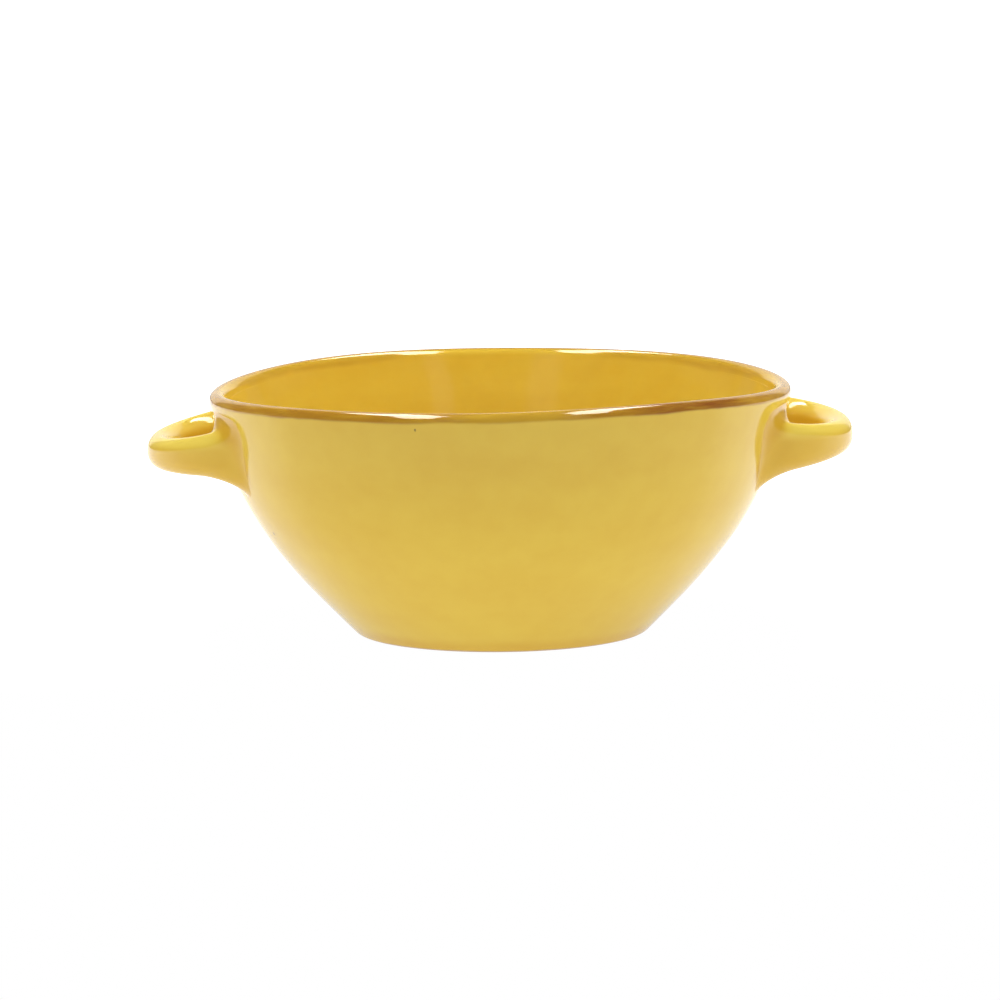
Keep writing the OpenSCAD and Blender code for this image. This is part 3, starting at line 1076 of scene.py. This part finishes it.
def shadeFloor(tree, atBack):
    # the floor is white to the camera; what the bowl itself gets from it is shaded near the foot
    place = objectPlace(tree)
    y = apart(tree, place)[1]
    away = distanceFrom(tree, place, (0, 0, 0))
    far = between(tree, away, *floorShade["near"])
    behind = between(tree, y, *floorShade["behind"])
    shaded = calc(tree, "MULTIPLY", lightAndShine(tree, light["floorFront"]), calc(tree, "SUBTRACT", 1.0, behind))
    shaded = calc(tree, "MULTIPLY", calc(tree, "MULTIPLY_ADD", atBack, behind, shaded), far)
    near = calc(tree, "SUBTRACT", 1.0, far)
    shaded = calc(tree, "MULTIPLY_ADD", lightAndShine(tree, light["floorNear"]), near, shaded)
    # darker at the foot, twice as much in the glaze
    mirrored = rayIs(tree, "Glossy")
    contact = between(tree, away, *floorShade["contact"], (-1.0, 0.0))
    darker = calc(tree, "MULTIPLY_ADD", mirrored, floorShade["darker"], floorShade["darker"])
    shaded = calc(tree, "MULTIPLY", shaded, calc(tree, "MULTIPLY_ADD", darker, contact, 1.0))
    # it shines more in the glaze beside and behind the foot than in front of it
    brighter = between(tree, y, *floorShade["beside"], (0.0, floorShade["brighter"]))
    shaded = calc(tree, "MULTIPLY", shaded, calc(tree, "MULTIPLY_ADD", mirrored, brighter, 1.0))
    return calc(tree, "MAXIMUM", shaded, rayIs(tree, "Camera"))


# Backdrop: its own soft colour, and how far out to each side it turns dark in the glaze
backdropShade = dict(colour=(1.0, 0.92, 0.78, 1), soft=0.12, darkFrom=(0.95, 1.25), darker=-0.8)


def shadeBackdrop(tree, plain):
    # plain (1 + mirrored dark)
    aside = calc(tree, "ABSOLUTE", apart(tree, objectPlace(tree))[0])
    dark = between(tree, aside, *backdropShade["darkFrom"], (0.0, backdropShade["darker"]))
    return calc(tree, "MULTIPLY", plain, calc(tree, "MULTIPLY_ADD", rayIs(tree, "Glossy"), dark, 1.0))


floor = makeCard(
    "studioFloor",
    (0, 0, 0),
    (floorShade["reach"], 0, 0),
    (0, floorShade["reach"], 0),
    light["floorBack"],
    shading=shadeFloor,
)
floor.visible_camera = True
makeCard(
    "backdrop",
    (0.0, 2.0, 0.9),
    (4.0, 0, 0),
    (0, 0, 0.9),
    light["backdrop"],
    soft=backdropShade["soft"],
    colour=backdropShade["colour"],
    shading=shadeBackdrop,
)

# Overhead: two lights that only fall on the bowl, and a long strip on each side, with a turned end piece,
# that only the glaze mirrors
overhead = dict(height=1.5, soft=0.1, stripColour=(1.0, 0.98, 0.86, 1))
high = overhead["height"]
makeCard("overheadLeft", (-0.355, 0.2, high), (0.145, 0, 0), (0, 0.8, 0), light["overhead"], overhead["soft"])
makeCard("overheadRight", (0.36, 0.2, high), (0.12, 0, 0), (0, 0.8, 0), light["overhead"], overhead["soft"])
for name, side in (("Left", -1), ("Right", 1)):
    for part, centre, across, up in (
        ("strip", (0.43 * side, 0.60, high), (0.165, 0, 0), (0, 0.56, 0)),
        ("stripEnd", (0.60 * side, -0.36, high), (0.15, 0.06 * side, 0), (-0.18 * side, 0.45, 0)),
    ):
        makeCard(part + name, centre, across, up, light["strips"], overhead["soft"], overhead["stripColour"])

# Cards turned to the bowl: azimuth from the camera's side and elevation in degrees, how far they stand from
# the bowl's middle, and half their width and height
turnedCards = dict(
    frontRight=(29.5, 29, 1.5, 0.15, 0.62),
    frontLeft=(-21.8, 29, 1.5, 0.21, 0.62),
    cameraSide=(0, 25, 1.7, 0.7, 0.35),
    fillHigh=(0, 60, 1.6, 0.8, 0.5),
    fillLeft=(-70, 40, 1.7, 0.6, 0.6),
    fillRight=(70, 40, 1.7, 0.6, 0.6),
    sideLeft=(-105, 12, 1.9, 0.8, 0.4),
    sideRight=(105, 12, 1.9, 0.8, 0.4),
)
turnedSoft = 0.45
for name, (azimuth, elevation, away, halfWidth, halfHeight) in turnedCards.items():
    a, e = math.radians(azimuth), math.radians(elevation)
    towards = np.array([math.sin(a) * math.cos(e), -math.cos(a) * math.cos(e), math.sin(e)])
    across = np.array([math.cos(a), math.sin(a), 0])
    up = np.cross(across, -towards)
    makeCard(name, towards * away, across * halfWidth, up * halfHeight, light[name], turnedSoft)

# Room: soft light all round, white to the camera
world = bpy.data.worlds.new("studioRoom")
scene.world = world
world.use_nodes = True
background = world.node_tree.nodes["Background"]
roomLight = lightAndShine(world.node_tree, light["room"])
roomLight = calc(world.node_tree, "MAXIMUM", roomLight, rayIs(world.node_tree, "Camera"))
feed(world.node_tree, roomLight, background.inputs["Strength"])
background.inputs["Color"].default_value = (1, 1, 1, 1)
scene.view_settings.view_transform = "Standard"
print("studio lit")
